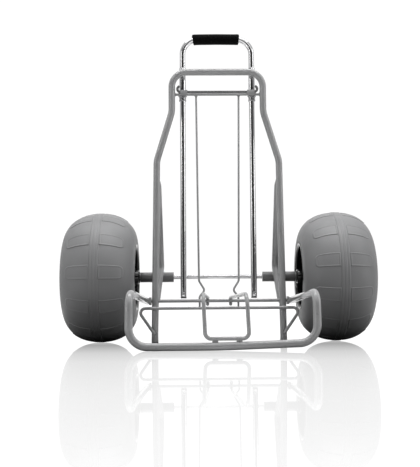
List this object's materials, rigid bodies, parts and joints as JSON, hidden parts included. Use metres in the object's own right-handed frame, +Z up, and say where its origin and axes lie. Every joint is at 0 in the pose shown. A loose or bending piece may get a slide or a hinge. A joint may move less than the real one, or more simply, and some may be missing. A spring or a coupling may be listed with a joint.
{
  "type": "beach cart",
  "caption": "Folding beach cart: bent tube frame on two wide balloon wheels, with a sliding chrome handle and a fold-up wire nose.",
  "frame": {"origin": "on the floor, under the middle of the whole cart's box at rest", "axes": "+Z up, +Y to the rear where the wheels are, -Y to the nose, +X to the right of someone who faces the nose side"},
  "size_m": [0.7416, 0.5261, 0.7436],
  "materials": {
    "frame_paint": "grey gloss powder coat",
    "chrome_tube": "polished",
    "zinc_steel": "bright zinc plate",
    "grey_tyre": "satin",
    "rim_plastic": "gloss black",
    "black_plastic": "fine moulded",
    "grip_foam": "matt foam"
  },
  "bodies": {
    "frame": {"main_frame": "frame_paint", "foot_plug_left": "black_plastic", "foot_plug_right": "black_plastic", "upper_cross_bar": "frame_paint", "hook_bar": "frame_paint", "guide_sleeve_left": "chrome_tube", "guide_sleeve_right": "chrome_tube", "guide_bush_left": "zinc_steel", "guide_bush_right": "zinc_steel", "sleeve_saddle_left": "frame_paint", "sleeve_saddle_right": "frame_paint", "back_wire_left": "frame_paint", "back_wire_right": "frame_paint", "hinge_rod": "zinc_steel", "hinge_nut_left": "zinc_steel", "hinge_nut_right": "zinc_steel", "ledge_wire": "frame_paint", "rear_brace_left": "frame_paint", "rear_brace_right": "frame_paint", "axle_sleeve_left": "frame_paint", "axle_sleeve_right": "frame_paint", "axle_rod": "zinc_steel", "axle_washer_inner_left": "zinc_steel", "axle_washer_inner_right": "zinc_steel", "axle_washer_outer_left": "zinc_steel", "axle_washer_outer_right": "zinc_steel", "axle_cap_left": "black_plastic", "axle_cap_right": "black_plastic"},
    "nose": {"nose_loop": "frame_paint", "nose_eye_left": "zinc_steel", "nose_eye_right": "zinc_steel", "nose_bail": "frame_paint", "bail_tab_left": "frame_paint", "bail_tab_right": "frame_paint"},
    "handle": {"handle_loop": "chrome_tube", "handle_grip": "grip_foam", "leg_plug_left": "black_plastic", "leg_plug_right": "black_plastic", "button_spring_left": "zinc_steel", "button_spring_right": "zinc_steel"},
    "left_button": {"snap_button_left": "zinc_steel"},
    "right_button": {"snap_button_right": "zinc_steel"},
    "left_wheel": {"tyre_left": "grey_tyre", "rim_inner_left": "rim_plastic", "rim_outer_left": "rim_plastic", "hub_bush_inner_left": "black_plastic", "hub_bush_outer_left": "black_plastic", "valve_stem_left": "zinc_steel"},
    "right_wheel": {"tyre_right": "grey_tyre", "rim_inner_right": "rim_plastic", "rim_outer_right": "rim_plastic", "hub_bush_inner_right": "black_plastic", "hub_bush_outer_right": "black_plastic", "valve_stem_right": "zinc_steel"}
  },
  "joints": [
    {"name": "handle_slide", "type": "slide", "parent": "frame", "child": "handle", "axis": [0, 0, 1], "range_m": [-0.034, 0.467]},
    {"name": "left_button_press", "type": "slide", "parent": "handle", "child": "left_button", "axis": [0, 1, 0], "range_m": [0, 0.0025], "stiffness_N_per_m": 400, "springref_m": -0.004},
    {"name": "right_button_press", "type": "slide", "parent": "handle", "child": "right_button", "axis": [0, 1, 0], "range_m": [0, 0.0025], "stiffness_N_per_m": 400, "springref_m": -0.004},
    {"name": "nose_fold", "type": "hinge", "parent": "frame", "child": "nose", "pos_m": [0, 0.02995, 0.0985], "axis": [-1, 0, 0], "range_deg": [0, 85]},
    {"name": "left_wheel_spin", "type": "hinge", "parent": "frame", "child": "left_wheel", "pos_m": [-0.284, 0.10655, 0.1565], "axis": [1, 0, 0], "continuous": true},
    {"name": "right_wheel_spin", "type": "hinge", "parent": "frame", "child": "right_wheel", "pos_m": [0.284, 0.10655, 0.1565], "axis": [1, 0, 0], "continuous": true}
  ]
}
